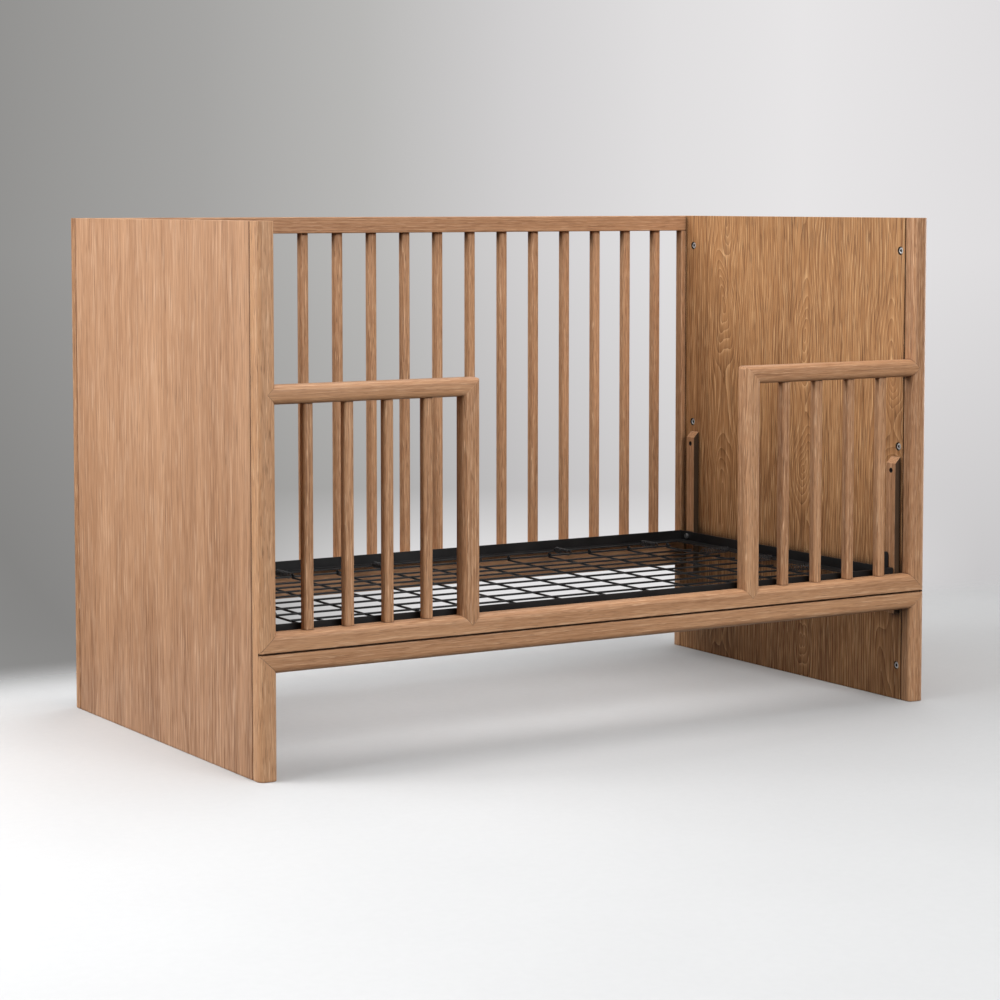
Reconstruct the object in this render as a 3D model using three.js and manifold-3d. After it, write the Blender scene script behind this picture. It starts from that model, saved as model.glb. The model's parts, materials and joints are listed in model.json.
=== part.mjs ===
// Baby crib in its toddler-bed form. Millimetres, +Z up, X along the bed, the open front at -Y.
// The origin is on the floor, midway along and midway across the crib.
import * as THREE from 'three';
import { mergeVertices } from 'three/addons/utils/BufferGeometryUtils.js';
import Module from 'manifold-3d';

const wasm = await Module();
wasm.setup();

// ---- driving dimensions -------------------------------------------------------------------
const LENGTH = 1400;          // outside faces of the two ends
const DEPTH = 780;
const HEIGHT = 914;
const GAP = 0.3;              // clearance left between pieces that touch
const END_THICK = 34;         // end panels and the posts on their edges
const POST_DEPTH = 28;        // posts, guard rails and lower front rail, front to back
const ROUND = 11;             // large rounding on the front edges
const SOFT = 3;               // small rounding on hidden edges
const EASE = 2;               // front edges of the back frame
const SEAM_EASE = 1;          // the two edges that face each other along the long front seam
const ARC_STEPS = 6;
const CUT = 1;                // how far a cutting shape reaches past the surface it cuts
const GROOVE = 1.5;           // chamfers of the groove between end panel and post
const POST_SEAM = 2;          // shadow gap at the bottom of that groove

const RAIL_HIGH = 32;
const LOW_RAIL_HIGH = 31.3;   // lower front rail, guard bottom rail
const LOWER_RAIL_Z = 177;     // underside of the lower front rail and of the back bottom rail
const GUARD_Z = 211.7;        // underside of the guard rail, 3.4 mm above the lower rail
const GUARD_TOP = 648.5;
const GUARD_POST_IN = 279;    // the free edge of each guard section, from the middle of the bed
const CORNER_ROUND = 8;       // rounded top corner at the free edge

const SLAT = 18;
const SLAT_ROUND = 5;
const SLAT_PITCH = 75.3;
const SLAT_PLANE = 371;       // both slat rows, from the middle of the crib
const BACK_SLATS = 17;
const GUARD_SLATS = 4;

const BACK_FRONT_Y = 347;     // front face of the back frame
const BACK_TOP_RAIL_Z = 883;
const STILE_WIDE = 11;
const STILE_DEEP = 20;

const CLEAT_THICK = 12;
const CLEAT_WIDE = 26;
const CLEAT_Z = [165, 462.5];
const CLEAT_Y = { front: -342, back: 311 };
const HOLE_LEVELS = [242.5, 437];   // the two heights at which the support can be bolted
const HOLE_R = 5;
const CAP_BOLT_Y = { front: -348, back: 320.5 };
const CAP_BOLT_LEVELS = [64, 482, 852];
const CAP_BOLT_POCKET = { r: 8, deep: 6 };

const SUPPORT = { x: 650, front: -352, back: 338, bottom: 231, top: 252, leg: 28, steel: 2.5 };
const BRACKET = { thick: 3, hole: 4.2 };
const BRACKET_SPAN = { front: [SUPPORT.front, -318], back: [300, 322] };
const BRACKET_EAR = { from: -338, top: 281, corner: 6 };    // tab standing up at the front
const HANG_BOLT = { head_r: 5.4, head: 3.6, shank_r: 3.6, socket_r: 2.5, socket: 2 };
const WIRE = 4;
const WIRE_SINK = 1.3;        // how far the crossing wires are pressed into each other
const WIRE_OVERHANG = 6;
const WIRE_LIFT = 1;          // the long wires, above the underside of the frame
const MESH_X = 554;
const MESH_Y = 250;
const CROSS_PITCH = 96.3;     // wires running front to back
const CROSS_WIRES = 12;
const CLOSE_ROWS = { first: 176, pitch: 49.7, count: 4 };
const OPEN_ROWS = { first: -36, pitch: 63, count: 5 };

const END_IN = LENGTH / 2 - END_THICK;
const FRONT_Y = -DEPTH / 2;
const RAIL_BACK_Y = FRONT_Y + POST_DEPTH;
const MITRE_Y = FRONT_Y + ROUND;      // the mitred tongues only reach this deep
const TONGUE_ROOT = 5;                // how far a mitred tongue runs back into its rail
const TONGUE_X = LENGTH / 2 - 1.5;    // tip of a tongue, just inside the outer face
const NOTCH_X = LENGTH / 2 - 1;
const GUARD_RAIL_TOP = GUARD_Z + LOW_RAIL_HIGH;
const GUARD_TOP_RAIL_Z = GUARD_TOP - RAIL_HIGH;

// ---- solids -------------------------------------------------------------------------------
function solid(geometry) {
  geometry.deleteAttribute('normal');
  geometry.deleteAttribute('uv');
  const merged = mergeVertices(geometry, 1e-4);
  return new wasm.Manifold(new wasm.Mesh({
    numProp: 3,
    vertProperties: new Float32Array(merged.attributes.position.array),
    triVerts: new Uint32Array(merged.index.array),
  }));
}

// Extrudes a closed outline. The outline is given in the two axes after `axis`, in cyclic order.
function extrude(points, axis, from, to) {
  const shape = new THREE.Shape(points.map(([u, v]) => new THREE.Vector2(u, v)));
  const geometry = new THREE.ExtrudeGeometry(shape, { depth: to - from, bevelEnabled: false });
  geometry.translate(0, 0, from);
  const x = new THREE.Vector3(1, 0, 0);
  const y = new THREE.Vector3(0, 1, 0);
  const z = new THREE.Vector3(0, 0, 1);
  const turn = new THREE.Matrix4();
  if (axis === 'x') turn.makeBasis(y, z, x);
  if (axis === 'y') turn.makeBasis(z, x, y);
  geometry.applyMatrix4(turn);
  return solid(geometry);
}

// Rectangle outline; radii go round from the low-low corner: low-low, high-low, high-high, low-high.
function rounded(u0, u1, v0, v1, radii, steps = ARC_STEPS) {
  const corners = [[u0, v0, 1, 1], [u1, v0, -1, 1], [u1, v1, -1, -1], [u0, v1, 1, -1]];
  const points = [];
  corners.forEach(([u, v, su, sv], i) => {
    const r = radii[i];
    if (!r) { points.push([u, v]); return; }
    const count = r <= SOFT ? ARC_STEPS / 2 : steps;
    for (let k = 0; k <= count; k += 1) {
      const a = Math.PI + (i + k / count) * Math.PI / 2;
      points.push([u + su * r + r * Math.cos(a), v + sv * r + r * Math.sin(a)]);
    }
  });
  return points;
}

function chamfered(u0, u1, v0, v1, cuts) {
  const [a, b, c, d] = cuts;
  return [[u0, v0 + a], [u0 + a, v0], [u1 - b, v0], [u1, v0 + b],
    [u1, v1 - c], [u1 - c, v1], [u0 + d, v1], [u0, v1 - d]];
}

function box(x0, x1, y0, y1, z0, z1) {
  return extrude([[x0, y0], [x1, y0], [x1, y1], [x0, y1]], 'z', z0, z1);
}

// A prism standing on an outline drawn in x and z, running from y0 to y1.
function prism(outline, y0, y1) {
  return extrude(outline.map(([x, z]) => [z, x]), 'y', y0, y1);
}

function cylinderX(radius, x0, x1, y, z, sides = 20) {
  const ring = [];
  for (let k = 0; k < sides; k += 1) {
    const a = (k / sides) * Math.PI * 2;
    ring.push([y + radius * Math.cos(a), z + radius * Math.sin(a)]);
  }
  return extrude(ring, 'x', x0, x1);
}

function union(parts) {
  return parts.reduce((sum, part) => sum.add(part));
}

function toGeometry(manifold) {
  const mesh = manifold.getMesh();
  const geometry = new THREE.BufferGeometry();
  geometry.setAttribute('position', new THREE.BufferAttribute(mesh.vertProperties, 3));
  geometry.setIndex(new THREE.BufferAttribute(mesh.triVerts, 1));
  geometry.computeVertexNormals();
  return geometry;
}

function flipX(manifold) {
  return manifold.mirror([1, 0, 0]);
}

// ---- materials ----------------------------------------------------------------------------
const oak = () => new THREE.MeshStandardMaterial({ color: 0xb07a4c, roughness: 0.55, metalness: 0 });
const blackSteel = () => new THREE.MeshStandardMaterial({
  color: 0x17171a, roughness: 0.4, metalness: 0.5,
});
const zincSteel = () => new THREE.MeshStandardMaterial({
  color: 0xb9bbbd, roughness: 0.3, metalness: 1,
});

// ---- ends ---------------------------------------------------------------------------------
function rightEndPanel() {
  const seam = RAIL_BACK_Y + POST_SEAM / 2;
  const outline = chamfered(END_IN, LENGTH / 2, seam, -seam, [GROOVE, GROOVE, GROOVE, GROOVE]);
  let panel = extrude(outline, 'z', 0, HEIGHT);
  for (const y of Object.values(CAP_BOLT_Y)) {
    for (const z of CAP_BOLT_LEVELS) {
      const { r, deep } = CAP_BOLT_POCKET;
      panel = panel.subtract(cylinderX(r, END_IN - CUT, END_IN + deep, y, z));
    }
  }
  return panel;
}

function edgePostOutline() {
  const points = rounded(END_IN, LENGTH / 2, FRONT_Y, RAIL_BACK_Y - POST_SEAM / 2,
    [ROUND, ROUND, 0, 0]);
  const back = points.splice(-2);
  const [[x1, y1], [x0]] = back;
  return [...points, [x1, y1 - GROOVE], [x1 - GROOVE, y1], [x0 + GROOVE, y1], [x0, y1 - GROOVE]];
}

// The front post is notched where the rails run into it with mitred ends.
function rightFrontPost() {
  const post = extrude(edgePostOutline(), 'z', 0, HEIGHT);
  const x = END_IN - CUT;
  const seamLow = LOWER_RAIL_Z + LOW_RAIL_HIGH - GAP;
  const seamHigh = GUARD_Z + GAP;
  const low = prism([[x, LOWER_RAIL_Z - CUT], [NOTCH_X, seamLow], [NOTCH_X, seamHigh],
    [x, GUARD_RAIL_TOP + CUT]], FRONT_Y - CUT, MITRE_Y);
  const high = prism([[x, GUARD_TOP_RAIL_Z - CUT],
    [END_IN + RAIL_HIGH / 2, GUARD_TOP - RAIL_HIGH / 2],
    [x, GUARD_TOP + CUT]], FRONT_Y - CUT, MITRE_Y);
  return post.subtract(low).subtract(high);
}

function rightRearPost() {
  const outline = edgePostOutline().map(([x, y]) => [x, -y]);
  return extrude(outline, 'z', 0, HEIGHT);
}

function rightCleat(y) {
  const face = END_IN - CLEAT_THICK;
  const [bottom, top] = CLEAT_Z;
  const side = [[face, bottom], [END_IN - GAP, bottom], [END_IN - GAP, top],
    [face, top - CLEAT_THICK]];
  let cleat = prism(side, y - CLEAT_WIDE / 2, y + CLEAT_WIDE / 2);
  for (const z of HOLE_LEVELS) {
    cleat = cleat.subtract(cylinderX(HOLE_R, face - CUT, END_IN - 2 * CUT, y, z));
  }
  return cleat;
}

// ---- front rails --------------------------------------------------------------------------
// The end of a full-length rail: butted against the post, with a mitred tongue in the notch.
function railEnds(z0, z1, tipZ) {
  const away = tipZ > z0 ? z0 : z1;
  const up = Math.sign(tipZ - away);
  const root = END_IN - TONGUE_ROOT;
  const butt = box(-END_IN + GAP, END_IN - GAP, FRONT_Y - CUT, 0, z0 - CUT, z1 + CUT);
  const tongue = prism([[root, away - up * (TONGUE_ROOT - 2 * GAP)], [TONGUE_X, tipZ],
    [TONGUE_X, tipZ + up * CUT], [root, tipZ + up * CUT]], FRONT_Y - CUT, MITRE_Y - GAP);
  const bar = rounded(0, LENGTH / 2, FRONT_Y, 0, [0, ROUND, 0, 0]);
  const edge = extrude(bar, 'z', z0 - CUT, z1 + CUT);
  const right = tongue.intersect(edge);
  return union([butt, right, flipX(right)]);
}

function lowerFrontRail() {
  const z1 = LOWER_RAIL_Z + LOW_RAIL_HIGH;
  const bar = rounded(FRONT_Y, RAIL_BACK_Y, LOWER_RAIL_Z, z1, [ROUND, SOFT, SOFT, SEAM_EASE]);
  const rail = extrude(bar, 'x', -LENGTH / 2, LENGTH / 2);
  return rail.intersect(railEnds(LOWER_RAIL_Z, z1, z1));
}

function guardBottomRail() {
  const bar = rounded(FRONT_Y, RAIL_BACK_Y, GUARD_Z, GUARD_RAIL_TOP,
    [SEAM_EASE, SOFT, SOFT, ROUND]);
  let rail = extrude(bar, 'x', -LENGTH / 2, LENGTH / 2);
  rail = rail.intersect(railEnds(GUARD_Z, GUARD_RAIL_TOP, GUARD_Z));
  const half = END_THICK / 2;
  const centre = GUARD_POST_IN + half;
  const notch = prism([[centre - half - CUT, GUARD_RAIL_TOP + CUT],
    [centre, GUARD_RAIL_TOP - half], [centre + half + CUT, GUARD_RAIL_TOP + CUT]],
  FRONT_Y - CUT, MITRE_Y);
  return rail.subtract(notch).subtract(flipX(notch));
}

function rightGuardTopRail() {
  const bar = rounded(FRONT_Y, RAIL_BACK_Y, GUARD_TOP_RAIL_Z, GUARD_TOP, [ROUND, SOFT, SOFT, ROUND]);
  const rail = extrude(bar, 'x', GUARD_POST_IN, LENGTH / 2);
  const top = GUARD_TOP;
  const low = GUARD_TOP_RAIL_Z;
  const mid = (top + low) / 2;
  const mitre = [...cornerSide(1), [GUARD_POST_IN + END_THICK + GAP, low]];
  const end = END_IN - GAP;
  const arrow = [[end, low + GAP], [END_IN + RAIL_HIGH / 2 - 2 * GAP, mid], [end, top - GAP]];
  const front = prism([...mitre, [end, low], ...arrow, [end, top]], FRONT_Y - CUT, MITRE_Y - GAP);
  const back = prism([...mitre, [end, low], [end, top]], MITRE_Y - GAP, 0);
  return rail.intersect(front.add(back));
}

// Top corner of the guard section at its free edge, rounded; points run from high x to low x.
function roundedCorner() {
  const points = [];
  for (let k = 0; k <= ARC_STEPS; k += 1) {
    const a = Math.PI / 2 + (k / ARC_STEPS) * Math.PI / 2;
    points.push([GUARD_POST_IN + CORNER_ROUND + CORNER_ROUND * Math.cos(a),
      GUARD_TOP - CORNER_ROUND + CORNER_ROUND * Math.sin(a)]);
  }
  return points;
}

// Height of the corner mitre above the underside of the top rail, at x.
function slopeOfCorner(x) {
  return RAIL_HIGH * (1 - (x - GUARD_POST_IN) / END_THICK);
}

// The rounded corner as far as the mitre: side is 1 above the mitre and -1 below it.
function cornerSide(side) {
  const clear = ([x, z]) => side * (z - GUARD_TOP_RAIL_Z - slopeOfCorner(x)) - GAP;
  const points = roundedCorner();
  const kept = [];
  points.forEach((point, i) => {
    const last = points[i - 1];
    if (last && (clear(point) > 0) !== (clear(last) > 0)) {
      const part = clear(last) / (clear(last) - clear(point));
      kept.push(last.map((v, axis) => v + part * (point[axis] - v)));
    }
    if (clear(point) > 0) kept.push(point);
  });
  return kept;
}

function rightGuardPost() {
  const x0 = GUARD_POST_IN;
  const x1 = x0 + END_THICK;
  const bar = rounded(x0, x1, FRONT_Y, RAIL_BACK_Y, [ROUND, ROUND, SOFT, SOFT]);
  const post = extrude(bar, 'z', GUARD_Z, GUARD_TOP);
  const foot = GUARD_RAIL_TOP + GAP;
  const top = [[x1, GUARD_TOP_RAIL_Z - GAP], ...cornerSide(-1)];
  const arrow = [[x0, foot], [(x0 + x1) / 2, foot - END_THICK / 2 + GAP], [x1, foot]];
  const front = prism([...top, ...arrow], FRONT_Y - CUT, MITRE_Y - GAP);
  const back = prism([...top, [x0, foot], [x1, foot]], MITRE_Y - GAP, 0);
  return post.intersect(front.add(back));
}

function slat(x, y, z0, z1) {
  const r = SLAT_ROUND;
  const h = SLAT / 2;
  const outline = rounded(x - h, x + h, y - h, y + h, [r, r, r, r], 4);
  return extrude(outline, 'z', z0 + GAP, z1 - GAP);
}

// ---- back frame ---------------------------------------------------------------------------
function backRail(z0, z1) {
  const bar = rounded(BACK_FRONT_Y, DEPTH / 2, z0, z1, [EASE, SOFT, SOFT, EASE]);
  return extrude(bar, 'x', -END_IN + GAP, END_IN - GAP);
}

function rightBackStile() {
  const x1 = END_IN - GAP;
  const bar = rounded(x1 - STILE_WIDE, x1, BACK_FRONT_Y, BACK_FRONT_Y + STILE_DEEP,
    [EASE, 0, 0, EASE]);
  return extrude(bar, 'z', GUARD_RAIL_TOP + GAP, BACK_TOP_RAIL_Z - GAP);
}

// ---- mattress support ---------------------------------------------------------------------
function supportFrame() {
  const { x, front, back, bottom, top, leg, steel } = SUPPORT;
  const ring = (inset, z0, z1) => box(-x, x, front, back, z0, z1)
    .subtract(box(-x + inset, x - inset, front + inset, back - inset, z0 - CUT, z1 + CUT));
  let frame = ring(steel, bottom, top).add(ring(leg, bottom, bottom + steel));
  for (const y of Object.values(CLEAT_Y)) {
    frame = frame.subtract(cylinderX(BRACKET.hole, -x - CUT, x + CUT, y, HOLE_LEVELS[0]));
  }
  return frame;
}

function supportMesh() {
  const rowZ = SUPPORT.bottom + WIRE_LIFT;
  const crossZ = rowZ - WIRE + WIRE_SINK;
  const h = WIRE / 2;
  const rows = [MESH_Y];
  for (const { first, pitch, count } of [CLOSE_ROWS, OPEN_ROWS]) {
    for (let k = 0; k < count; k += 1) rows.push(first - k * pitch);
  }
  const crossings = [-MESH_X];
  for (let k = 0; k < CROSS_WIRES; k += 1) crossings.push(MESH_X - k * CROSS_PITCH);
  const endX = MESH_X + h + WIRE_OVERHANG;
  const backY = MESH_Y + h + WIRE_OVERHANG;
  const frontY = Math.min(...rows) - h - WIRE_OVERHANG;
  return union([
    ...rows.map((y) => box(-endX, endX, y - h, y + h, rowZ, rowZ + WIRE)),
    ...crossings.map((x) => box(x - h, x + h, frontY, backY, crossZ, crossZ + WIRE)),
  ]);
}

// Spacer plates between the ends of the frame and the cleats.
function rightBackBracket() {
  const [y0, y1] = BRACKET_SPAN.back;
  return boltedPlate(bracketPlate(y0, y1, SUPPORT.top, 0), CLEAT_Y.back);
}

function rightFrontBracket() {
  const [y0, y1] = BRACKET_SPAN.front;
  const ear = bracketPlate(BRACKET_EAR.from, y1, BRACKET_EAR.top, BRACKET_EAR.corner);
  return boltedPlate(bracketPlate(y0, y1, SUPPORT.top, 0).add(ear), CLEAT_Y.front);
}

function bracketPlate(y0, y1, top, corner) {
  const outline = rounded(y0, y1, SUPPORT.bottom, top, [0, 0, corner, corner]);
  return extrude(outline, 'x', SUPPORT.x + GAP, SUPPORT.x + GAP + BRACKET.thick);
}

function boltedPlate(plate, y) {
  const x1 = SUPPORT.x + GAP + BRACKET.thick + CUT;
  return plate.subtract(cylinderX(BRACKET.hole, SUPPORT.x, x1, y, HOLE_LEVELS[0]));
}

function rightHangBolt(y) {
  const { head_r: headR, head, shank_r: shankR, socket_r: socketR, socket: deep } = HANG_BOLT;
  const x1 = SUPPORT.x - SUPPORT.steel - GAP;
  const x0 = x1 - head;
  const z = HOLE_LEVELS[0];
  const shank = cylinderX(shankR, x0 + head / 2, SUPPORT.x + GAP + BRACKET.thick, y, z);
  const socket = cylinderX(socketR, x0 - CUT, x0 + deep, y, z, 6);
  return cylinderX(headR, x0, x1, y, z).add(shank).subtract(socket);
}

// ---- assembly -----------------------------------------------------------------------------
const crib = new THREE.Group();
crib.name = 'baby_crib';

function add(name, manifold, material) {
  const mesh = new THREE.Mesh(toGeometry(manifold), material());
  mesh.name = name;
  crib.add(mesh);
}

function addPair(name, manifold, material) {
  add(`left_${name}`, flipX(manifold), material);
  add(`right_${name}`, manifold, material);
}

addPair('end_panel', rightEndPanel(), oak);
addPair('front_post', rightFrontPost(), oak);
addPair('rear_post', rightRearPost(), oak);
addPair('front_cleat', rightCleat(CLEAT_Y.front), oak);
addPair('back_cleat', rightCleat(CLEAT_Y.back), oak);

add('lower_front_rail', lowerFrontRail(), oak);
add('guard_bottom_rail', guardBottomRail(), oak);
addPair('guard_top_rail', rightGuardTopRail(), oak);
addPair('guard_post', rightGuardPost(), oak);

add('back_top_rail', backRail(BACK_TOP_RAIL_Z, HEIGHT), oak);
add('back_bottom_rail', backRail(LOWER_RAIL_Z, GUARD_RAIL_TOP), oak);
addPair('back_stile', rightBackStile(), oak);

for (let k = 0; k < BACK_SLATS; k += 1) {
  const x = (k - (BACK_SLATS - 1) / 2) * SLAT_PITCH;
  const name = `back_slat_${String(k + 1).padStart(2, '0')}`;
  add(name, slat(x, SLAT_PLANE, GUARD_RAIL_TOP, BACK_TOP_RAIL_Z), oak);
}
for (let k = 0; k < GUARD_SLATS; k += 1) {
  const x = ((BACK_SLATS - 1) / 2 - k) * SLAT_PITCH;
  addPair(`guard_slat_${k + 1}`, slat(x, -SLAT_PLANE, GUARD_RAIL_TOP, GUARD_TOP_RAIL_Z), oak);
}

add('support_frame', supportFrame(), blackSteel);
add('support_mesh', supportMesh(), blackSteel);
addPair('front_bracket', rightFrontBracket(), blackSteel);
addPair('back_bracket', rightBackBracket(), blackSteel);
addPair('front_hang_bolt', rightHangBolt(CLEAT_Y.front), zincSteel);
addPair('back_hang_bolt', rightHangBolt(CLEAT_Y.back), zincSteel);

export default crib;
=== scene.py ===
"""Baby crib in its toddler-bed form: oak finish, black steel support, studio floor and light."""

import json
import math
import random

import bmesh
import bpy
from mathutils import Matrix, Vector

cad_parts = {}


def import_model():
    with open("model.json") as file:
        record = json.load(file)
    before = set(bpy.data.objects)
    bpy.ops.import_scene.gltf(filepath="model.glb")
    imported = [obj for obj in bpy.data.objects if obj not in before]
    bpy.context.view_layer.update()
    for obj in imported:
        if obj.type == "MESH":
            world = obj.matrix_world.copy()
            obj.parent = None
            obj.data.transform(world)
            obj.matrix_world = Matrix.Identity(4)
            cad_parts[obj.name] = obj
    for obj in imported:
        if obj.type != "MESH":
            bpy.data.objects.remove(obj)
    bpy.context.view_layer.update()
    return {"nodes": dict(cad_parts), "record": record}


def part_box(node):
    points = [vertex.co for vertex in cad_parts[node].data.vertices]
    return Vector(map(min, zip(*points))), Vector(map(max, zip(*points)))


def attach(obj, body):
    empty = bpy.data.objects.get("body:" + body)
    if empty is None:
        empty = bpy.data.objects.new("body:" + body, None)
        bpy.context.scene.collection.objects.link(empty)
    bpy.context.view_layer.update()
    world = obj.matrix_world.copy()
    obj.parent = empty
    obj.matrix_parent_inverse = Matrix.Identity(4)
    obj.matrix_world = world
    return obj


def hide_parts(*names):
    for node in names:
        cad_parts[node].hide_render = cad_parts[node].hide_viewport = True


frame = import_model()

SCENE = bpy.context.scene
MM = 0.001

# ---- places read from the frame ---------------------------------------------------------------
RIM_LOW, RIM_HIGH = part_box("support_frame")
MESH_LOW, MESH_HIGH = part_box("support_mesh")
CLEATS = {side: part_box(f"right_{side}_cleat") for side in ("front", "back")}
GUARD_TOP_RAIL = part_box("right_guard_top_rail")
INNER_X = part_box("right_end_panel")[0][0]

# ---- sizes that the frame doesn't hold, in metres ---------------------------------------------
CAP_BOLT_Y = {"front": -348 * MM, "back": 320.5 * MM}
CAP_BOLT_LEVELS = [64 * MM, 482 * MM, 852 * MM]
CAP_BOLT_R = 6.8 * MM         # of the washer
CAP_BOLT_DEEP = 5.6 * MM      # the washer's seat, below the inside face of the end panel
WASHER_THICK = 1.0 * MM
HOLE_LEVELS = [242.5 * MM, 437 * MM]
INSERT_R = 4.8 * MM
INSERT_BORE = 4.0 * MM
INSERT_LONG = 8 * MM
RIM_LEG = 28 * MM             # the angle steel of the support's rim
RIM_STEEL = 2.5 * MM
WIRE_R = 2.0 * MM
SPRING_X = [105 * MM, 317 * MM, 530 * MM]
SPRING_Y = [-160 * MM, -14 * MM, 132 * MM]
SPRING_R = 5.5 * MM
SPRING_WIRE_R = 0.9 * MM
SPRING_COILS = 11
SPRING_HOOK = 6 * MM          # length of the hook at each end of a spring
SPRING_OVER_RIM = 4 * MM      # how far a spring's hook reaches over the rim's edge
GLUE_THICK = 0.36 * MM
GLUE_OFF = 0.03 * MM          # the gap between the glue and the post's mitre
GLUE_SHARE = 0.986            # of the mitre's outline, so that no glue stands proud of it

# How far each kind of edge is rounded.
ROUND_MITRED = 0.1 * MM
ROUND_WOOD = 0.3 * MM
ROUND_BOLT = 0.4 * MM
ROUND_STEEL = 0.5 * MM

FLOOR_FADE = (0.475, 0.89)    # where the floor fades out behind the crib, along Y
FLOOR_EDGE = (2.1, 3.4)       # and all round, from the origin
FLOOR_HALF = 14.0
FLOOR_DROP = 0.4 * MM         # below the feet, so that their undersides don't flicker

RNG = random.Random(7)


# ---- mesh helpers -----------------------------------------------------------------------------
def make_object(name, bm, materials, body, smooth_deg=35):
    """A finished piece: normals out, smooth where it's round, riding on its body."""
    bmesh.ops.recalc_face_normals(bm, faces=bm.faces)
    mesh = bpy.data.meshes.new(name)
    bm.to_mesh(mesh)
    bm.free()
    mesh.shade_smooth()
    mesh.set_sharp_from_angle(angle=math.radians(smooth_deg))
    for material in materials:
        mesh.materials.append(material)
    obj = bpy.data.objects.new(name, mesh)
    SCENE.collection.objects.link(obj)
    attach(obj, body)
    return obj


def bridge(bm, ring_a, ring_b):
    """Side faces between two closed rings of the same number of vertices."""
    count = len(ring_a)
    faces = []
    for k in range(count):
        n = (k + 1) % count
        faces.append(bm.faces.new((ring_a[k], ring_a[n], ring_b[n], ring_b[k])))
    return faces


def add_tube(bm, points, radius, sides=8):
    """A round wire along a list of points, with capped ends."""
    points = [Vector(p) for p in points]
    normal = None
    rings = []
    for k, point in enumerate(points):
        after = points[min(k + 1, len(points) - 1)]
        before = points[max(k - 1, 0)]
        along = (after - before).normalized()
        if normal is None:
            normal = along.orthogonal().normalized()
        normal = (normal - along * normal.dot(along)).normalized()
        other = along.cross(normal)
        ring = []
        for s in range(sides):
            a = 2 * math.pi * s / sides
            ring.append(bm.verts.new(point + radius * (math.cos(a) * normal + math.sin(a) * other)))
        rings.append(ring)
    for ring, following in zip(rings, rings[1:]):
        bridge(bm, ring, following)
    bm.faces.new(rings[0])
    bm.faces.new(rings[-1])


def add_lathe(bm, profile, place, sides=32):
    """A turned piece: profile is a list of (radius, height) from one end to the other."""
    rings = []
    for radius, height in profile:
        if radius == 0:
            rings.append([bm.verts.new(place @ Vector((0, 0, height)))])
            continue
        ring = []
        for s in range(sides):
            a = 2 * math.pi * s / sides
            point = Vector((radius * math.cos(a), radius * math.sin(a), height))
            ring.append(bm.verts.new(place @ point))
        rings.append(ring)
    for a, b in zip(rings, rings[1:]):
        if len(a) == 1 or len(b) == 1:
            tip, ring = (a[0], b) if len(a) == 1 else (b[0], a)
            for k in range(sides):
                bm.faces.new((tip, ring[k], ring[(k + 1) % sides]))
        else:
            bridge(bm, a, b)


def add_socket_head(bm, place, radius, height, hex_across, socket_deep, chamfer, per_side=4):
    """The head of a socket bolt standing on z = 0, with a hexagon socket in its top."""
    sides = 6 * per_side

    def circle(r, z):
        ring = []
        for s in range(sides):
            a = 2 * math.pi * s / sides
            ring.append(bm.verts.new(place @ Vector((r * math.cos(a), r * math.sin(a), z))))
        return ring

    def hexagon(across, z):
        ring = []
        for s in range(sides):
            a = 2 * math.pi * s / sides
            face_middle = (math.floor(s / per_side) + 0.5) * math.pi / 3
            r = across / 2 / math.cos(a - face_middle)
            ring.append(bm.verts.new(place @ Vector((r * math.cos(a), r * math.sin(a), z))))
        return ring

    rings = [circle(radius, 0), circle(radius, height - chamfer), circle(radius - chamfer, height),
             hexagon(hex_across + 0.6 * MM, height), hexagon(hex_across, height - 0.4 * MM),
             hexagon(hex_across, height - socket_deep)]
    bm.faces.new(rings[0])
    for a, b in zip(rings, rings[1:]):
        faces = bridge(bm, a, b)
    centre = bm.verts.new(place @ Vector((0, 0, height - socket_deep - 0.8 * MM)))
    last = rings[-1]
    for k in range(sides):
        faces.append(bm.faces.new((centre, last[k], last[(k + 1) % sides])))
    for face in faces:
        face.material_index = 1


def facing_in(x, y, z):
    """A placing whose +Z points from the end at x towards the middle of the bed."""
    turn = Matrix.Rotation(-math.pi / 2 if x > 0 else math.pi / 2, 4, "Y")
    return Matrix.Translation((x, y, z)) @ turn


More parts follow.
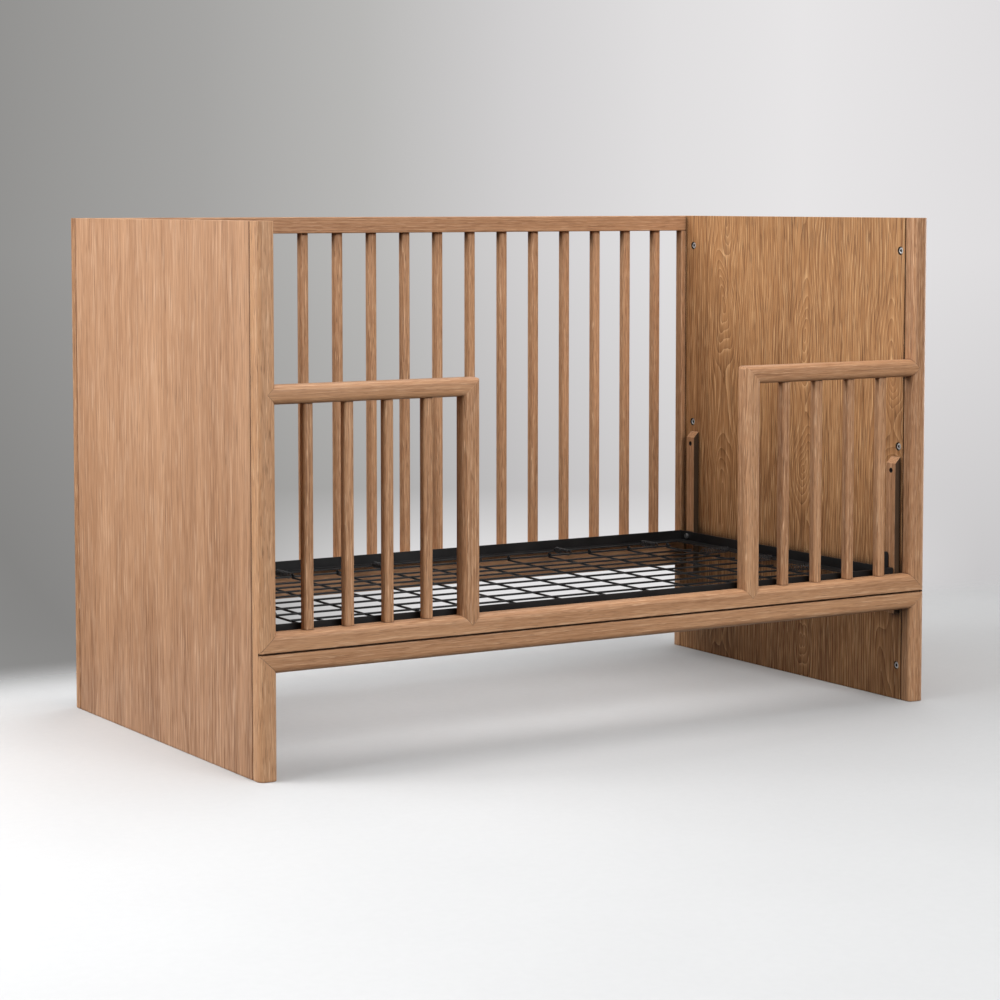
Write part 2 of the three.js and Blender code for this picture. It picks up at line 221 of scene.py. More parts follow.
# ---- material helpers -------------------------------------------------------------------------
class Nodes:
    """Builds a node tree: most calls add a node, link its inputs and return its output."""

    def __init__(self, tree):
        self.tree = tree

    def add(self, kind, inputs=None, **settings):
        node = self.tree.nodes.new(kind)
        for key, value in settings.items():
            setattr(node, key, value)
        for key, value in (inputs or {}).items():
            self.feed(node.inputs[key], value)
        return node

    def feed(self, socket, value):
        if isinstance(value, bpy.types.NodeSocket):
            self.tree.links.new(value, socket)
        else:
            socket.default_value = value

    def math(self, operation, a, b=0.0, clamp=False):
        node = self.add("ShaderNodeMath", {0: a, 1: b}, operation=operation, use_clamp=clamp)
        return node.outputs[0]

    def noise(self, vector, detail=3.0, rough=0.55):
        inputs = {"Vector": vector, "Scale": 1.0, "Detail": detail, "Roughness": rough}
        return self.add("ShaderNodeTexNoise", inputs).outputs["Fac"]

    def stretch(self, vector, scale, offset=(0, 0, 0)):
        inputs = {"Vector": vector, "Scale": scale, "Location": offset}
        return self.add("ShaderNodeMapping", inputs).outputs["Vector"]

    def spread(self, value, low, high, to_low=0.0, to_high=1.0):
        inputs = {"Value": value, "From Min": low, "From Max": high, "To Min": to_low,
                  "To Max": to_high}
        return self.add("ShaderNodeMapRange", inputs).outputs["Result"]

    def mix(self, factor, a, b, blend="MIX"):
        node = self.add("ShaderNodeMix", data_type="RGBA", blend_type=blend)
        self.feed(node.inputs[0], factor)
        self.feed(node.inputs[6], a)
        self.feed(node.inputs[7], b)
        return node.outputs[2]

    def ramp(self, value, stops):
        node = self.add("ShaderNodeValToRGB", {"Fac": value})
        elements = node.color_ramp.elements
        while len(elements) < len(stops):
            elements.new(0.5)
        for element, (place, colour) in zip(elements, stops):
            element.position = place
            element.color = colour
        return node.outputs["Color"]

    def grey(self, value):
        return self.add("ShaderNodeCombineColor", {0: value, 1: value, 2: value}).outputs[0]

    def along(self, vector, direction):
        node = self.add("ShaderNodeVectorMath", {0: vector, 1: direction}, operation="DOT_PRODUCT")
        return node.outputs["Value"]

    def length(self, vector):
        node = self.add("ShaderNodeVectorMath", {0: vector}, operation="LENGTH")
        return node.outputs["Value"]


class MaterialNodes(Nodes):
    """The nodes of a new material, which end in its Principled shader."""

    def __init__(self, name):
        self.material = bpy.data.materials.new(name)
        self.material.use_nodes = True
        super().__init__(self.material.node_tree)
        self.shader = self.tree.nodes["Principled BSDF"]

    def shade(self, **inputs):
        """Feeds the shader's inputs, each named in lower case with _ for a space."""
        sockets = {socket.name.lower().replace(" ", "_"): socket for socket in self.shader.inputs}
        for key, value in inputs.items():
            self.feed(sockets[key], value)

    def place(self):
        """Where a point is on the crib, in metres."""
        return self.add("ShaderNodeTexCoord").outputs["Object"]

    def split(self, vector):
        return self.add("ShaderNodeSeparateXYZ", {"Vector": vector}).outputs

    def edges(self, radius):
        """Near 1 on edges and corners, 0 on flats."""
        soft = self.add("ShaderNodeBevel", {"Radius": radius}, samples=4).outputs["Normal"]
        hard = self.add("ShaderNodeNewGeometry").outputs["Normal"]
        return self.spread(self.along(soft, hard), 0.995, 0.85)

    def occlusion_shade(self, reach, open_at=0.85, closed_at=0.40):
        """A mask for painted shade, from ambient occlusion: 1 in seams and tight corners, 0 in the
        open.
        """
        inputs = {"Distance": reach}
        node = self.add("ShaderNodeAmbientOcclusion", inputs, samples=4)
        return self.spread(node.outputs["AO"], open_at, closed_at)

    def bump(self, height, distance, strength):
        inputs = {"Height": height, "Distance": distance, "Strength": strength}
        self.shade(normal=self.add("ShaderNodeBump", inputs).outputs["Normal"])


def rgba(red, green, blue):
    return (red, green, blue, 1.0)


# ---- materials --------------------------------------------------------------------------------
def grain_coordinates(nodes, along):
    """Places on the crib, turned so that z runs along the grain."""
    place = nodes.place()
    if along == "z":
        return place
    x, y, z = nodes.split(place)
    return nodes.add("ShaderNodeCombineXYZ", {"X": y, "Y": z, "Z": x}).outputs["Vector"]


OAK_DEEP = rgba(0.200, 0.088, 0.038)
OAK_MID = rgba(0.400, 0.200, 0.098)
OAK_LIGHT = rgba(0.560, 0.305, 0.162)
OAK_LIME = rgba(0.820, 0.545, 0.355)
OAK_PORE = rgba(0.110, 0.048, 0.022)
OAK_SHADE = rgba(0.022, 0.013, 0.006)
PLAIN = rgba(1.0, 0.98, 0.94)
# Painted warm bounce light: the yellow tint of the right end panel.
GOLDEN_BOUNCE = rgba(0.91, 0.84, 0.65)
ROSY = rgba(1.03, 1.06, 1.13)

# How the growth rings meet the face, and how coarse and strong the grain is.
# heart: where the heart line runs, across the grain, from the middle of the piece
# leaf: width of the veneer leaves, which repeat the figure as mirror images
# eye: half width of the closed loops of a flat-cut leaf; loops: how many radians of them a metre
# fine: fibres to a metre across the grain; contrast: of fibres, streaks, pores and lime
# foot_shade: how much painted shade darkens the wood near the floor
STRAIGHT_VENEER = dict(heart=(0.10, 0.33), leaf=10.0, eye=0.0, loops=0.0, wander=0.070,
                       gap=9 * MM, ring=0.14, fine=300, contrast=0.80, tone=0.04, foot_shade=0.24,
                       tint=ROSY)
CROWN_VENEER = dict(heart=(0.017, 0.06), leaf=0.135, eye=0.040, loops=8.5, wander=0.035,
                    gap=7 * MM, ring=0.44, fine=360, contrast=1.30, tone=0.0, foot_shade=0.25,
                    tint=GOLDEN_BOUNCE)
SOLID = dict(leaf=10.0, eye=0.0, loops=0.0, wander=0.030, gap=5.5 * MM, ring=0.24, fine=620,
             contrast=1.1, foot_shade=0.0, tint=PLAIN)
LOOP_JITTER = 7.0         # how unevenly the loops follow each other, in radians
RING_RIPPLE = 3.5 * MM
FOOT_SHADE_SPAN = (0.55, 0.05)  # the heights between which painted shade darkens the wood towards the floor
RAIL_CONTRAST = 0.72      # of the pieces that lie along the bed
SEAM_SHADE = 0.9                # how strongly painted shade darkens the wood in seams and tight corners
CLOSE_SEAM_SHADE = 0.25         # at the tight mitres of the guard sections
MITRED = ("guard_top_rail", "guard_post")


def ring_cycle(nodes, place, slow, ripple, middle, heart, leaf, eye, loops, wander, gap):
    """Goes from 0 to 1 across each growth ring: rings are cylinders round a bent heart line."""
    x, y, z = nodes.split(place)
    bend = nodes.math("MULTIPLY", nodes.math("SUBTRACT", slow, 0.5), wander)
    y_off = nodes.math("PINGPONG", nodes.math("ADD", y, heart[1] - middle[1]), leaf)
    y_off = nodes.math("ADD", y_off, bend)
    swing = nodes.math("SINE", nodes.math("ADD", nodes.math("MULTIPLY", z, loops),
                                          nodes.math("MULTIPLY", slow, LOOP_JITTER)))
    x_off = nodes.math("ADD", nodes.math("ADD", x, heart[0] - middle[0]),
                       nodes.math("MULTIPLY", swing, eye))
    radius = nodes.math("SQRT", nodes.math("ADD", nodes.math("MULTIPLY", x_off, x_off),
                                           nodes.math("MULTIPLY", y_off, y_off)))
    return nodes.math("FRACT", nodes.math("DIVIDE", nodes.math("ADD", radius, ripple), gap))


def paint_shade(nodes, colour, shade_recesses, shade_cleat_sides):
    """Painted shade, near black: in the deep corners inside the ends and on the cleats' side faces.
    """
    if shade_recesses:
        # Painted shade in the deep corners inside the end panels, found by ambient occlusion, kept
        # clear of the floor.
        _, _, z = nodes.split(nodes.place())
        recess_shade = nodes.math("MULTIPLY", nodes.occlusion_shade(40 * MM, 0.80, 0.50),
                            nodes.spread(z, 60 * MM, 110 * MM))
        colour = nodes.mix(nodes.math("MULTIPLY", recess_shade, 0.95), colour, OAK_SHADE)
    if shade_cleat_sides:
        # Painted shade: the cleats' side faces, those facing along Y, are made near black.
        facing = nodes.add("ShaderNodeTexCoord").outputs["Normal"]
        _, sideways, _ = nodes.split(facing)
        sideways = nodes.spread(nodes.math("ABSOLUTE", sideways), 0.6, 0.9)
        colour = nodes.mix(nodes.math("MULTIPLY", sideways, 0.92), colour, OAK_SHADE)
    return colour


def oak(name, along, middle, heart, leaf, eye, loops, wander, gap, ring, fine, contrast, tone,
        foot_shade, tint, seam_shade, shade_recesses=False, shade_cleat_sides=False):
    """Brushed, faintly limed oak.

    Pores are short dashes along the grain, filled light in the early wood and left dark
    elsewhere. Edges are worn light. Painted shade darkens seams and tight corners, and on
    some pieces the foot, the deep corners inside the ends and the cleats' sides.
    """
    nodes = MaterialNodes(name)
    place = grain_coordinates(nodes, along)
    shift = [RNG.uniform(-3, 3) for _ in range(3)]

    def grain(across, length, detail=2.0, rough=0.55, offset=shift):
        return nodes.noise(nodes.stretch(place, (across, across, length), offset), detail=detail,
                           rough=rough)

    slow = grain(6, 1.8, rough=0.45)
    ripple = nodes.math("MULTIPLY", grain(42, 9), RING_RIPPLE)
    cycle = ring_cycle(nodes, place, slow, ripple, middle, heart, leaf, eye, loops, wander, gap)
    late = nodes.math("POWER", cycle, 2.0)
    early = nodes.spread(cycle, 0.0, 0.36, 1.0, 0.0)

    fibre = nodes.spread(grain(fine, fine / 26, detail=3.0, rough=0.6), 0.34, 0.66)
    streak = nodes.spread(grain(fine / 4, 3.2, detail=3.0), 0.33, 0.67)
    band = nodes.spread(grain(24, 0.7), 0.35, 0.65)
    cloud = nodes.spread(grain(9, 2.0), 0.3, 0.7)
    dash = grain(fine * 1.15, fine / 17, detail=1.0, offset=shift[::-1])
    fleck = grain(fine * 1.05, fine / 20, detail=1.0, offset=shift[1:] + shift[:1])
    pore = nodes.spread(dash, 0.61, 0.68)
    lime = nodes.math("MULTIPLY", nodes.spread(fleck, 0.55, 0.65),
                      nodes.math("ADD", nodes.math("MULTIPLY", early, 0.6), 0.4))
    line = nodes.math("MULTIPLY", nodes.math("POWER", early, 2.0), nodes.spread(streak, 0.2, 0.8))
    lime = nodes.math("ADD", lime, nodes.math("MULTIPLY", line, ring * 1.6))

    # How light the bare wood is, before pores, lime and wear.
    layers = ((streak, 0.20 * contrast), (fibre, 0.46 * contrast), (band, 0.20), (cloud, 0.18))
    value = ring / 3 + 0.61 + tone - sum(weight for _, weight in layers) / 2
    for layer, weight in (*layers, (late, -ring)):
        value = nodes.math("ADD", value, nodes.math("MULTIPLY", layer, weight))
    if foot_shade:
        # Painted shade: the wood gets darker towards the floor.
        z = nodes.split(place)[2]
        value = nodes.math("SUBTRACT", value, nodes.spread(z, *FOOT_SHADE_SPAN, 0.0, foot_shade))

    colour = nodes.ramp(value, [(0.0, OAK_DEEP), (0.45, OAK_MID), (0.95, OAK_LIGHT)])
    colour = nodes.mix(nodes.math("MULTIPLY", pore, 0.44 * contrast), colour, OAK_PORE)
    limed = nodes.math("MULTIPLY", lime, 0.66 * contrast, clamp=True)
    colour = nodes.mix(limed, colour, OAK_LIME)
    worn = nodes.math("MULTIPLY", nodes.edges(1.4 * MM), nodes.spread(cloud, 0.0, 1.0, 0.08, 0.35))
    colour = nodes.mix(worn, colour, OAK_LIME)
    # Painted shade in seams and tight inside corners, from ambient occlusion.
    colour = nodes.mix(nodes.math("MULTIPLY", nodes.occlusion_shade(5 * MM), seam_shade), colour, OAK_PORE)
    colour = paint_shade(nodes, colour, shade_recesses, shade_cleat_sides)
    # The tint; on the right end panel it is painted warm bounce light.
    colour = nodes.mix(1.0, colour, tint, "MULTIPLY")

    rough = nodes.math("ADD", nodes.spread(fibre, 0.0, 1.0, 0.58, 0.46),
                       nodes.math("MULTIPLY", pore, 0.2))
    nodes.shade(base_color=colour, roughness=rough, specular_ior_level=0.40)
    height = nodes.math("SUBTRACT", nodes.math("MULTIPLY", fibre, 0.4), pore)
    nodes.bump(height, 0.15 * MM, 0.6)
    return nodes.material


def black_steel(name, base=0.005, rough=0.38, specular=0.33):
    """Powder-coated steel: faint orange peel, a little dust and rubbed edges."""
    nodes = MaterialNodes(name)
    place = nodes.place()
    peel = nodes.noise(nodes.stretch(place, (900, 900, 900)), detail=2.0)
    cloud = nodes.noise(nodes.stretch(place, (14, 14, 14)), detail=4.0)
    dust = nodes.spread(cloud, 0.45, 0.8, 0.0, 0.30)
    colour = nodes.mix(dust, rgba(base, base, base * 1.1), rgba(0.030, 0.028, 0.027))
    rubbed = nodes.math("MULTIPLY", nodes.edges(0.9 * MM), nodes.spread(cloud, 0.4, 0.7, 0.1, 0.6))
    colour = nodes.mix(rubbed, colour, rgba(0.09, 0.09, 0.095))
    sheen = nodes.spread(cloud, 0.3, 0.7, rough, rough + 0.14)
    nodes.shade(base_color=colour, roughness=sheen, specular_ior_level=specular)
    nodes.bump(peel, 0.05 * MM, 0.5)
    return nodes.material


def plated_steel(name, base, rough, metallic=0.4):
    """Zinc-plated steel with fine scratches and darker grease in patches."""
    nodes = MaterialNodes(name)
    place = nodes.place()
    scratch = nodes.noise(nodes.stretch(place, (300, 2600, 2600)), detail=2.0)
    cloud = nodes.noise(nodes.stretch(place, (160, 160, 160)), detail=3.0)
    dark = rgba(*(c * 0.62 for c in base[:3]))
    colour = nodes.mix(nodes.spread(cloud, 0.35, 0.7), base, dark)
    sheen = nodes.spread(scratch, 0.3, 0.7, rough, rough + 0.2)
    nodes.shade(base_color=colour, roughness=sheen, metallic=metallic)
    nodes.bump(scratch, 0.02 * MM, 0.4)
    return nodes.material


def glue_material():
    """Dried wood glue, tinted the colour of the oak."""
    nodes = MaterialNodes("stained_glue")
    cloud = nodes.noise(nodes.stretch(nodes.place(), (250, 250, 250)), detail=3.0)
    colour = nodes.mix(nodes.spread(cloud, 0.3, 0.7), OAK_MID, OAK_LIGHT)
    nodes.shade(base_color=colour, roughness=nodes.spread(cloud, 0.3, 0.7, 0.45, 0.7))
    nodes.bump(cloud, 0.05 * MM, 0.4)
    return nodes.material


def floor_material():
    """Pale matt studio floor with painted shade that darkens it to the right and painted light that
    lifts the shadow under the crib; it ends softly behind the crib.
    """
    nodes = MaterialNodes("studio_floor")
    place = nodes.place()
    mottle = nodes.noise(nodes.stretch(place, (2.2, 2.2, 2.2)), detail=4.0)
    grit = nodes.noise(nodes.stretch(place, (60, 60, 60)), detail=3.0)
    x, y, _ = nodes.split(place)
    # Painted shade: the floor gets darker towards the right of the picture.
    across = nodes.math("SUBTRACT", nodes.math("MULTIPLY", x, 0.85),
                        nodes.math("MULTIPLY", y, 0.52))
    tone = nodes.spread(across, -1.6, 1.8, 0.705, 0.430)
    # Painted light: the floor is lighter under the crib, which lifts the crib's shadow there.
    under = nodes.length(nodes.stretch(place, (1.25, 1.9, 0)))
    tone = nodes.math("MULTIPLY", tone, nodes.spread(under, 0.40, 1.1, 1.23, 1.0))
    tone = nodes.math("MULTIPLY", tone, nodes.spread(mottle, 0.3, 0.7, 0.985, 1.015))
    tone = nodes.math("MULTIPLY", tone, nodes.spread(grit, 0.3, 0.7, 0.99, 1.01))
    green = nodes.math("MULTIPLY", tone, 1.008)
    blue = nodes.math("MULTIPLY", tone, 1.018)
    colour = nodes.add("ShaderNodeCombineColor", {0: tone, 1: green, 2: blue}).outputs[0]
    clear = [nodes.add("ShaderNodeMapRange", {"Value": value, "From Min": near, "From Max": far},
                       interpolation_type="SMOOTHSTEP").outputs["Result"]
             for value, (near, far) in ((y, FLOOR_FADE), (nodes.length(place), FLOOR_EDGE))]
    alpha = nodes.math("SUBTRACT", 1.0, nodes.math("MAXIMUM", *clear))
    nodes.shade(base_color=colour, roughness=0.8, alpha=alpha)
    nodes.bump(grit, 0.4 * MM, 0.5)
    return nodes.material


BLACK = black_steel("black_powder_coat")
BLACK_WIRE = black_steel("black_wire", base=0.004, rough=0.34, specular=0.24)
# The zinc gets a near-white, only partly metallic colour: painted reflection, so that washers and
# heads look bright without bright surroundings to reflect.
ZINC = plated_steel("zinc_plated", rgba(0.93, 0.94, 0.95), 0.22)
HANG_STEEL = plated_steel("hang_bolt_steel", rgba(0.40, 0.40, 0.41), 0.26, metallic=0.9)
SOCKET_STEEL = plated_steel("dark_socket", rgba(0.020, 0.020, 0.021), 0.6)
INSERT_STEEL = plated_steel("threaded_insert", rgba(0.035, 0.032, 0.03), 0.42)
GLUE = glue_material()
SPRING_STEEL = black_steel("spring_steel", base=0.012, rough=0.22)


# ---- CAD nodes: finish, softened edges --------------------------------------------------------
def soften(obj, width):
    """Joined-up corners and small rounded edges, with flat faces still shaded flat."""
    weld = obj.modifiers.new("weld", "WELD")
    weld.merge_threshold = 0.01 * MM
    bevel = obj.modifiers.new("softened_edges", "BEVEL")
    bevel.width = width
    bevel.segments = 2
    bevel.limit_method = "ANGLE"
    bevel.angle_limit = math.radians(28)
    bevel.use_clamp_overlap = True
    bevel.miter_outer = "MITER_ARC"
    normals = obj.modifiers.new("face_normals", "WEIGHTED_NORMAL")
    normals.mode = "FACE_AREA"
    normals.weight = 80
    normals.keep_sharp = False


def dress(node, material, width):
    """Gives a CAD node its material and softened edges."""
    obj = frame["nodes"][node]
    obj.data.materials.clear()
    obj.data.materials.append(material)
    obj.data.shade_smooth()
    soften(obj, width)


# Pieces clearly lighter or darker than the rest.
TONES = {"left_front_post": 0.30, "right_front_post": -0.12, "left_rear_post": -0.16,
         "lower_front_rail": 0.05, "guard_bottom_rail": 0.05, "right_guard_post": 0.10,
         "left_guard_post": -0.10, "back_top_rail": -0.06}


def wood_for(node):
    """An oak of its own for each wooden piece, with the grain along its length."""
    low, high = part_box(node)
    size = [b - a for a, b in zip(low, high)]
    along = "x" if size[0] > size[2] else "z"
    middle = [(a + b) / 2 for a, b in zip(low, high)]
    if along == "x":
        middle = [middle[1], middle[2], middle[0]]
    if node == "right_end_panel":
        kind = CROWN_VENEER
    elif node == "left_end_panel":
        kind = STRAIGHT_VENEER
    else:
        heart = (RNG.uniform(0.03, 0.10), RNG.uniform(0.02, 0.08))
        tone = RNG.uniform(-0.04, 0.04)
        kind = dict(SOLID, heart=heart, tone=TONES.get(node, tone))
        if along == "x":
            kind["contrast"] = RAIL_CONTRAST
    seam_shade = CLOSE_SEAM_SHADE if node.endswith(MITRED) else SEAM_SHADE
    return oak(f"oak_{node}", along, middle, seam_shade=seam_shade,
               shade_recesses=node.endswith("end_panel"), shade_cleat_sides=node.endswith("cleat"), **kind)


for node in frame["record"]["behaviour"]["bodies"]["crib_frame"]:
    dress(node, wood_for(node), ROUND_MITRED if node.endswith(MITRED) else ROUND_WOOD)
for node in frame["record"]["behaviour"]["bodies"]["mattress_support"]:
    if node.endswith("hang_bolt"):
        dress(node, HANG_STEEL, ROUND_BOLT)
    elif node != "support_mesh":
        dress(node, BLACK, ROUND_STEEL)


# ---- hardware on the ends ---------------------------------------------------------------------
def cap_bolts():
    """Socket-head cap bolts with a flat washer, sunk in the round pockets of the end panels."""
    for side in (-1, 1):
        for where, y in CAP_BOLT_Y.items():
            for k, z in enumerate(CAP_BOLT_LEVELS):
                name = f"{'left' if side < 0 else 'right'}_{where}_cap_bolt_{k + 1}"
                place = facing_in(side * (INNER_X + CAP_BOLT_DEEP), y, z)
                place = place @ Matrix.Rotation(RNG.uniform(0, math.pi), 4, "Z")
                bm = bmesh.new()
                r = CAP_BOLT_R
                add_lathe(bm, [(0, 0), (r, 0), (r, 0.7 * MM), (r - 0.3 * MM, WASHER_THICK),
                               (0, WASHER_THICK)], place)
                head = place @ Matrix.Translation((0, 0, WASHER_THICK + 0.05 * MM))
                add_socket_head(bm, head, 5.9 * MM, 2.9 * MM, 5.6 * MM, 2.4 * MM, 0.9 * MM)
                make_object(name, bm, [ZINC, SOCKET_STEEL], "crib_frame")


def threaded_inserts():
    """Flanged inserts in the cleats, with a thread cut inside."""
    for side in (-1, 1):
        for where, (low, high) in CLEATS.items():
            for k, z in enumerate(HOLE_LEVELS):
                name = f"{'left' if side < 0 else 'right'}_{where}_insert_{k + 1}"
                y = (low[1] + high[1]) / 2
                place = facing_in(side * low[0], y, z)
                outer, bore = INSERT_R, INSERT_BORE
                profile = [(bore, -INSERT_LONG), (outer, -INSERT_LONG), (outer, -0.5 * MM),
                           (bore + 0.4 * MM, -0.3 * MM), (bore, -0.6 * MM)]
                for turn in range(7):
                    profile.append((bore + 0.55 * MM, -(0.9 + turn) * MM))
                    profile.append((bore, -(1.3 + turn) * MM))
                profile.append((bore, -INSERT_LONG))
                bm = bmesh.new()
                add_lathe(bm, profile, place, sides=28)
                bmesh.ops.remove_doubles(bm, verts=bm.verts, dist=1e-6)
                make_object(name, bm, [INSERT_STEEL], "crib_frame")


# ---- mattress support: wires, springs and hooks -----------------------------------------------
ROW_Z = MESH_HIGH[2] - WIRE_R
CROSS_Z = MESH_LOW[2] + WIRE_R


def wire_places(axis, end_axis):
    """Middles of the parallel wires of the CAD mesh that end at its high face on end_axis."""
    vertices = frame["nodes"]["support_mesh"].data.vertices
    limit = MESH_HIGH[end_axis] - 0.1 * MM
    edges = sorted({round(v.co[axis], 5) for v in vertices if v.co[end_axis] > limit})
    return [(a + b) / 2 for a, b in zip(edges[::2], edges[1::2])]


ROWS = wire_places(1, 0)
CROSSINGS = wire_places(0, 1)
EDGE_Y = ROWS[-1]
EDGE_X = CROSSINGS[-1]


def straight(a, b, pieces=2):
    a, b = Vector(a), Vector(b)
    return [a.lerp(b, k / pieces) for k in range(pieces + 1)]


def curl(x, y, sign):
    """The end of a cross wire, turned up and round the edge wire of the mesh."""
    r = (ROW_Z - CROSS_Z) * 1.35
    points = []
    for k in range(13):
        a = -math.pi / 2 + 1.6 * math.pi * k / 12
        points.append((x, y + sign * r * math.cos(a), CROSS_Z + r + r * math.sin(a)))
    return points


def wire_mesh():
    """Rows along the bed and cross wires under them, whose ends curl round the edge wires."""
    bm = bmesh.new()
    reach = MESH_HIGH[0] - 0.2 * MM
    for y in ROWS:
        add_tube(bm, straight((-reach, y, ROW_Z), (reach, y, ROW_Z)), WIRE_R)
    for x in CROSSINGS:
        add_tube(bm, list(reversed(curl(x, ROWS[0], -1))) + curl(x, ROWS[-1], 1), WIRE_R)
    mesh = make_object("wire_mesh", bm, [BLACK_WIRE], "mattress_support")
    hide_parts("support_mesh")


def spring(name, start, end):
    """A coil spring with a hook at each end, from the mesh's edge wire to the rim."""
    start, end = Vector(start), Vector(end)
    along = (end - start).normalized()
    up = Vector((0, 0, 1))
    side = along.cross(up)
    hook = SPRING_HOOK
    body = (end - start).length - 2 * hook
    points = []
    for k in range(7):
        a = math.pi * (1.15 - k / 6 * 0.65)
        points.append(start + along * (hook * 0.5 + hook * 0.55 * math.cos(a))
                      + up * (hook * 0.55 * math.sin(a)))
    steps = SPRING_COILS * 14
    for k in range(steps + 1):
        a = 2 * math.pi * SPRING_COILS * k / steps + math.pi / 2
        at = start + along * (hook + body * k / steps)
        points.append(at + SPRING_R * (math.cos(a) * side + math.sin(a) * up))
    for k in range(7):
        a = math.pi * (0.5 - k / 6 * 0.65)
        points.append(end + along * (-hook * 0.5 + hook * 0.55 * math.cos(a))
                      + up * (hook * 0.55 * math.sin(a)))
    bm = bmesh.new()
    add_tube(bm, points, SPRING_WIRE_R, sides=6)
    make_object(name, bm, [SPRING_STEEL], "mattress_support", smooth_deg=60)


def springs():
    """The springs that stretch the mesh to the rim on all four sides."""
    front_hook = RIM_LOW[1] + RIM_LEG - SPRING_OVER_RIM
    back_hook = RIM_HIGH[1] - RIM_LEG + SPRING_OVER_RIM
    side_hook = RIM_HIGH[0] - RIM_LEG + SPRING_OVER_RIM
    z = RIM_LOW[2] + RIM_STEEL + SPRING_R * 0.4
    for side in (-1, 1):
        word = "left" if side < 0 else "right"
        for k, x in enumerate(SPRING_X):
            spring(f"{word}_back_spring_{k + 1}", (side * x, EDGE_Y, z), (side * x, back_hook, z))
            spring(f"{word}_front_spring_{k + 1}", (side * x, ROWS[0], z),
                   (side * x, front_hook, z))
        for k, y in enumerate(SPRING_Y):
            spring(f"{word}_side_spring_{k + 1}", (side * EDGE_X, y, z),
                   (side * side_hook, y, z))


def glue_lines():
    """Thin glue lines that fill the mitres at the free top corners of the guard sections."""
    for side in ("left", "right"):
        post = frame["nodes"][f"{side}_guard_post"]
        bm = bmesh.new()
        bm.from_mesh(post.data)
        bmesh.ops.remove_doubles(bm, verts=bm.verts, dist=0.01 * MM)
        slanted = [f for f in bm.faces if f.normal.z > 0.5 and abs(f.normal.x) > 0.5
                   and f.calc_center_median().z > GUARD_TOP_RAIL[0][2]]
        normal = max(slanted, key=lambda f: f.calc_area()).normal.copy()
        slanted = [f for f in slanted if f.normal.dot(normal) > 0.999]
        bmesh.ops.delete(bm, geom=[f for f in bm.faces if f not in slanted], context="FACES")
        middle = sum((v.co for v in bm.verts), Vector()) / len(bm.verts)
        for vertex in bm.verts:
            vertex.co = middle + (vertex.co - middle) * GLUE_SHARE + normal * GLUE_OFF
        sheet = bmesh.ops.extrude_face_region(bm, geom=bm.faces[:])
        moved = [v for v in sheet["geom"] if isinstance(v, bmesh.types.BMVert)]
        bmesh.ops.translate(bm, verts=moved, vec=normal * GLUE_THICK)
        make_object(f"{side}_guard_glue_line", bm, [GLUE], "crib_frame")


cap_bolts()
threaded_inserts()
glue_lines()
wire_mesh()
springs()


# ---- floor, light and camera ------------------------------------------------------------------
def floor():
    """The floor sends no light back up, so the crib is lit by the lamps alone."""
    bm = bmesh.new()
    far = FLOOR_HALF
    back = FLOOR_FADE[1] + 0.5
    corners = [(-far, -far, 0), (far, -far, 0), (far, back, 0), (-far, back, 0)]
    bm.faces.new([bm.verts.new(c) for c in corners])
    mesh = bpy.data.meshes.new("floor")
    bm.to_mesh(mesh)
    bm.free()
    mesh.materials.append(floor_material())
    obj = bpy.data.objects.new("floor", mesh)
    SCENE.collection.objects.link(obj)
    obj.location.z = -FLOOR_DROP
    obj.visible_diffuse = False


# name, place, the point it faces, size, watts
LAMPS = [
    ("left_side", (-4.0, -0.4, 2.2), (0, 0, 0.5), (2.0, 2.0), 72),
    ("left_low_back", (-3.9, 1.0, 2.3), (0, 0, 0.5), (1.6, 1.6), 75),
    ("left_high_back", (-3.2, 1.8, 2.8), (0, 0, 0.4), (2.2, 2.2), 56),
    ("right_back", (2.6, 2.4, 3.0), (0, 0, 0.2), (2.0, 2.0), 23),
    ("right_side", (4.2, 0.2, 0.55), (0, 0, 0.5), (2.0, 0.9), 66),
    ("overhead", (0.3, -0.3, 3.8), (0, 0, 0.2), (3.5, 2.5), 90),
    ("front", (0.5, -4.8, 2.4), (0, 0, 0.4), (3.0, 2.0), 177),
]


def area_light(name, place, aim, size, power):
    data = bpy.data.lights.new(name, "AREA")
    data.shape = "RECTANGLE"
    data.size, data.size_y = size
    data.energy = power
    obj = bpy.data.objects.new(name, data)
    obj.location = place
    obj.rotation_euler = (Vector(aim) - Vector(place)).to_track_quat("-Z", "Y").to_euler()
    SCENE.collection.objects.link(obj)


CAMERA_YAW = 31.42       # degrees right of straight on
CAMERA_PITCH = -4.28
CAMERA_PLACE = (-2.6179, -4.2785, 0.9495)
CAMERA_LENS = 96.77
CAMERA_SHIFT_Y = -0.10


def camera():
    data = bpy.data.cameras.new("camera")
    data.sensor_width = 36
    data.lens = CAMERA_LENS
    data.shift_y = CAMERA_SHIFT_Y
    data.clip_end = 60
    obj = bpy.data.objects.new("camera", data)
    obj.location = CAMERA_PLACE
    obj.rotation_euler = (math.radians(90 + CAMERA_PITCH), 0, math.radians(-CAMERA_YAW))
    SCENE.collection.objects.link(obj)
    SCENE.camera = obj


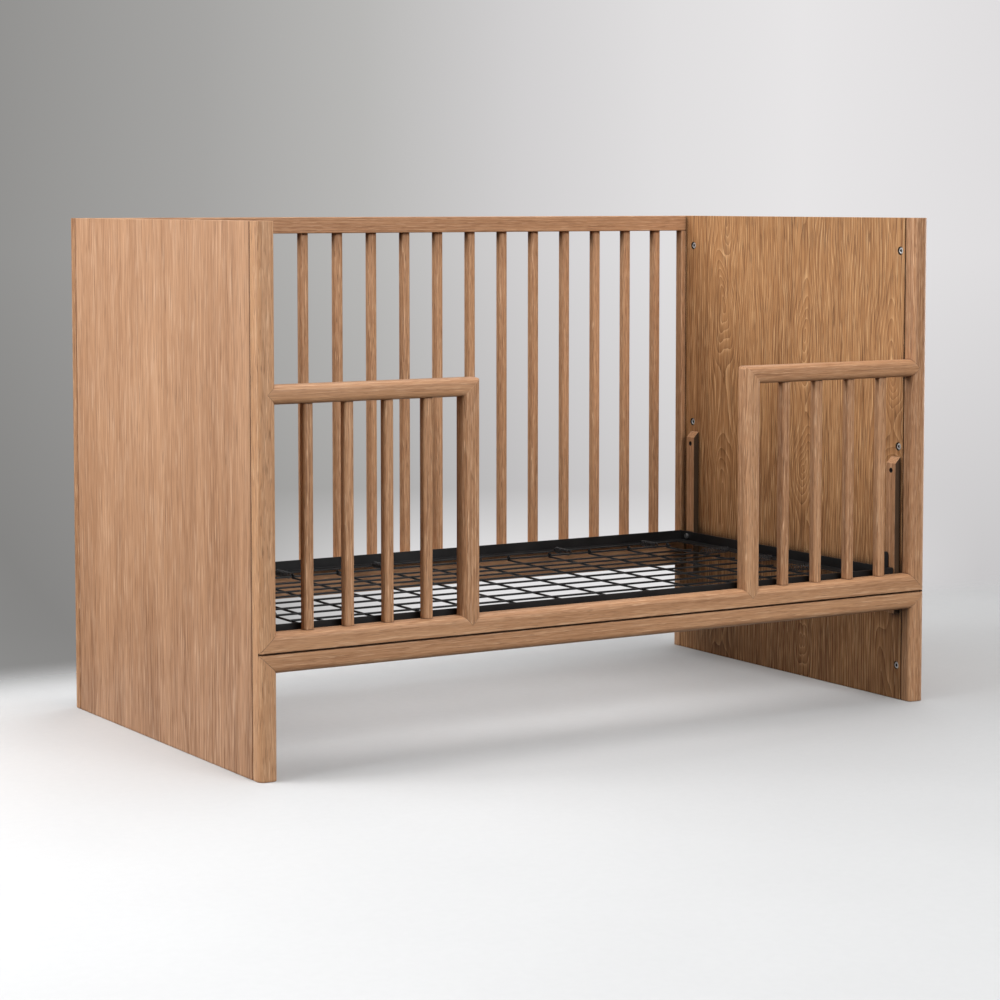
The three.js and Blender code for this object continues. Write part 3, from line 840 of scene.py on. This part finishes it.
def world():
    """Even light all round; behind the crib the eye sees a grey wall, darker on the left, with a
    painted pool of light low in the middle.
    """
    background = bpy.data.worlds.new("studio")
    SCENE.world = background
    background.use_nodes = True
    tree = background.node_tree
    tree.nodes.clear()
    nodes = Nodes(tree)
    look = nodes.add("ShaderNodeTexCoord").outputs["Generated"]
    yaw = math.radians(CAMERA_YAW)
    ahead = (math.sin(yaw), math.cos(yaw), 0)
    right = (math.cos(yaw), -math.sin(yaw), 0)
    up = nodes.along(look, (0, 0, 1))
    depth = nodes.along(look, ahead)
    ahead_of_eye = nodes.math("MAXIMUM", depth, 0.2)
    across = nodes.math("DIVIDE", nodes.along(look, right), ahead_of_eye)
    height = nodes.math("DIVIDE", up, ahead_of_eye)
    wall = nodes.ramp(nodes.spread(across, -0.186, 0.186), [
        (0.0, rgba(0.292, 0.288, 0.281)), (0.20, rgba(0.375, 0.370, 0.362)),
        (0.36, rgba(0.480, 0.475, 0.466)), (0.52, rgba(0.640, 0.628, 0.633)),
        (0.66, rgba(0.745, 0.732, 0.738)), (0.80, rgba(0.800, 0.786, 0.793)),
        (1.0, rgba(0.745, 0.730, 0.738))])
    shade = nodes.grey(nodes.spread(height, -0.16, -0.02, 0.74, 1.0))
    wall = nodes.mix(1.0, wall, shade, "MULTIPLY")
    # Painted light: a pool of light low in the middle, behind the crib, seen through the mesh.
    low = nodes.spread(height, -0.108, -0.135)
    near = nodes.math("ABSOLUTE", nodes.math("SUBTRACT", across, 0.03))
    painted_pool = nodes.math("MULTIPLY", low, nodes.spread(near, 0.05, 0.15, 0.85, 0.0))
    wall = nodes.mix(painted_pool, wall, rgba(0.84, 0.83, 0.835))
    facing = nodes.spread(depth, 0.90, 0.975)
    seen = nodes.mix(facing, rgba(0.72, 0.72, 0.72), wall)
    is_camera = nodes.add("ShaderNodeLightPath").outputs["Is Camera Ray"]
    sky = nodes.grey(nodes.spread(up, -0.05, 0.05))
    light = nodes.add("ShaderNodeBackground", {"Color": sky, "Strength": 0.12})
    view = nodes.add("ShaderNodeBackground", {"Color": seen, "Strength": 1.0})
    both = nodes.add("ShaderNodeMixShader", {0: is_camera})
    tree.links.new(light.outputs[0], both.inputs[1])
    tree.links.new(view.outputs[0], both.inputs[2])
    output = nodes.add("ShaderNodeOutputWorld")
    tree.links.new(both.outputs[0], output.inputs["Surface"])


SCENE.view_settings.view_transform = "Standard"
floor()
world()
camera()
for lamp in LAMPS:
    area_light(*lamp)
